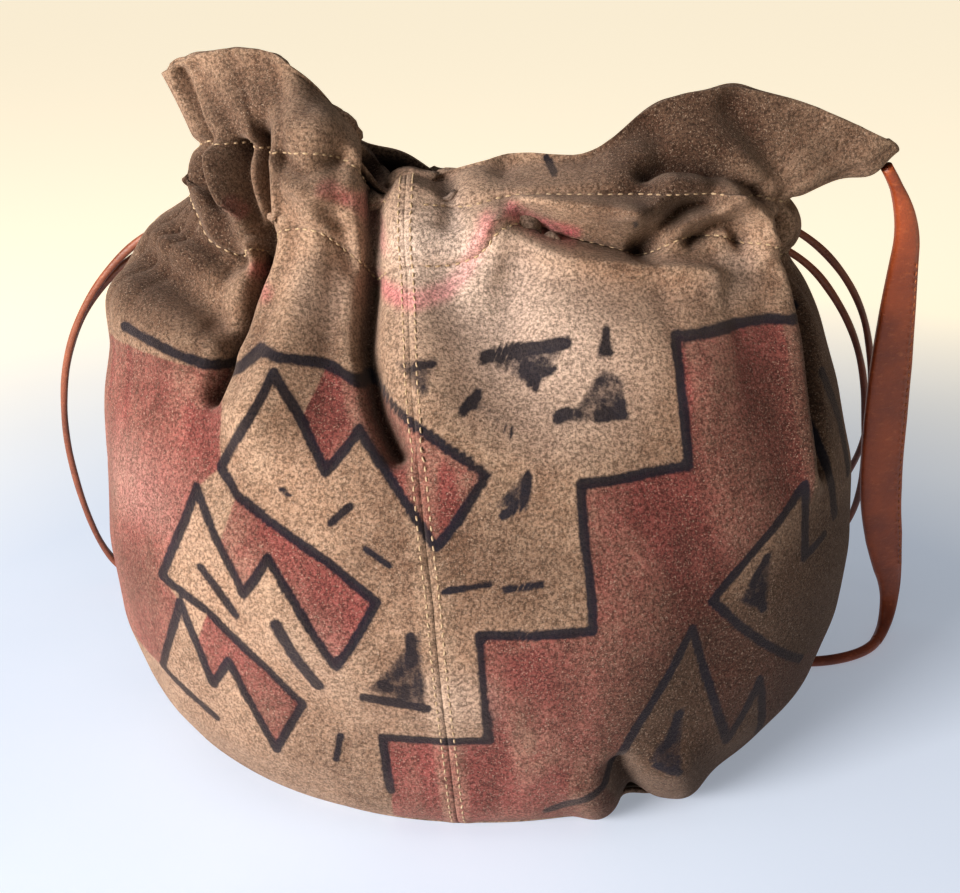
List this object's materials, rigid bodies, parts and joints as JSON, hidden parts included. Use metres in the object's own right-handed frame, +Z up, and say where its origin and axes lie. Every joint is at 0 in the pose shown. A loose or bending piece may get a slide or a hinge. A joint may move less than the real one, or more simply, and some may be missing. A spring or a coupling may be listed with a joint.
{
  "type": "drawstring shoulder pouch",
  "caption": "Soft suede drawstring pouch with a flared collar, a stitched lace channel, lace ends on both sides and a leather shoulder strap with a folded pad.",
  "frame": {"origin": "centre of the base on the table", "axes": "+Z up, front seam faces -Y, the strap pad hangs on the +X side"},
  "size_m": [0.425, 0.29, 0.294],
  "materials": {
    "painted_suede": "napped suede, matt, hand painted in brick red and navy black",
    "suede_inner": "napped suede, matt, unpainted",
    "lining_cloth": "plain woven cotton, matt",
    "cream_thread": "waxed thread",
    "lace_leather": "smooth, slight sheen",
    "strap_leather": "smooth tan, slight sheen"
  },
  "bodies": {
    "bag": {"back_seam_thread_left": "cream_thread", "back_seam_thread_right": "cream_thread", "base_panel": "painted_suede", "body_panel_left": "painted_suede", "body_panel_right": "painted_suede", "casing_strip": "suede_inner", "casing_thread_lower_left": "cream_thread", "casing_thread_lower_right": "cream_thread", "casing_thread_upper_left": "cream_thread", "casing_thread_upper_right": "cream_thread", "collar_facing": "suede_inner", "collar_left": "painted_suede", "collar_right": "painted_suede", "drawstring_left_run": "lace_leather", "drawstring_right_run": "lace_leather", "front_seam_thread_left": "cream_thread", "front_seam_thread_right": "cream_thread", "lining_base": "lining_cloth", "lining_wall": "lining_cloth", "strap_knot_left": "strap_leather", "strap_knot_right": "strap_leather"},
    "right_lace_ends": {"drawstring_right_tail_a": "lace_leather", "drawstring_right_tail_b": "lace_leather", "drawstring_right_knot": "lace_leather"},
    "left_lace_ends": {"drawstring_left_tail_a": "lace_leather", "drawstring_left_tail_b": "lace_leather", "drawstring_left_knot": "lace_leather"},
    "strap": {"strap_cord": "strap_leather", "strap_pad": "strap_leather", "strap_pad_thread": "cream_thread"}
  },
  "joints": [
    {"name": "right_drawstring_pull", "type": "slide", "parent": "bag", "child": "right_lace_ends", "axis": [1, 0, 0], "range_m": [0, 0.06], "deforming": ["drawstring_right_tail_a", "drawstring_right_tail_b"]},
    {"name": "left_drawstring_pull", "type": "slide", "parent": "bag", "child": "left_lace_ends", "axis": [-1, 0, 0], "range_m": [0, 0.06], "deforming": ["drawstring_left_tail_a", "drawstring_left_tail_b"]},
    {"name": "strap_swing", "type": "hinge", "parent": "bag", "child": "strap", "pos_m": [0.03825, 0.0177, 0.254], "axis": [0.9887, -0.1365, -0.0617], "range_deg": [0, 100], "deforming": ["strap_cord"]}
  ],
  "couplings": [
    {"joint": "left_drawstring_pull", "follows": "right_drawstring_pull", "ratio": 1}
  ]
}
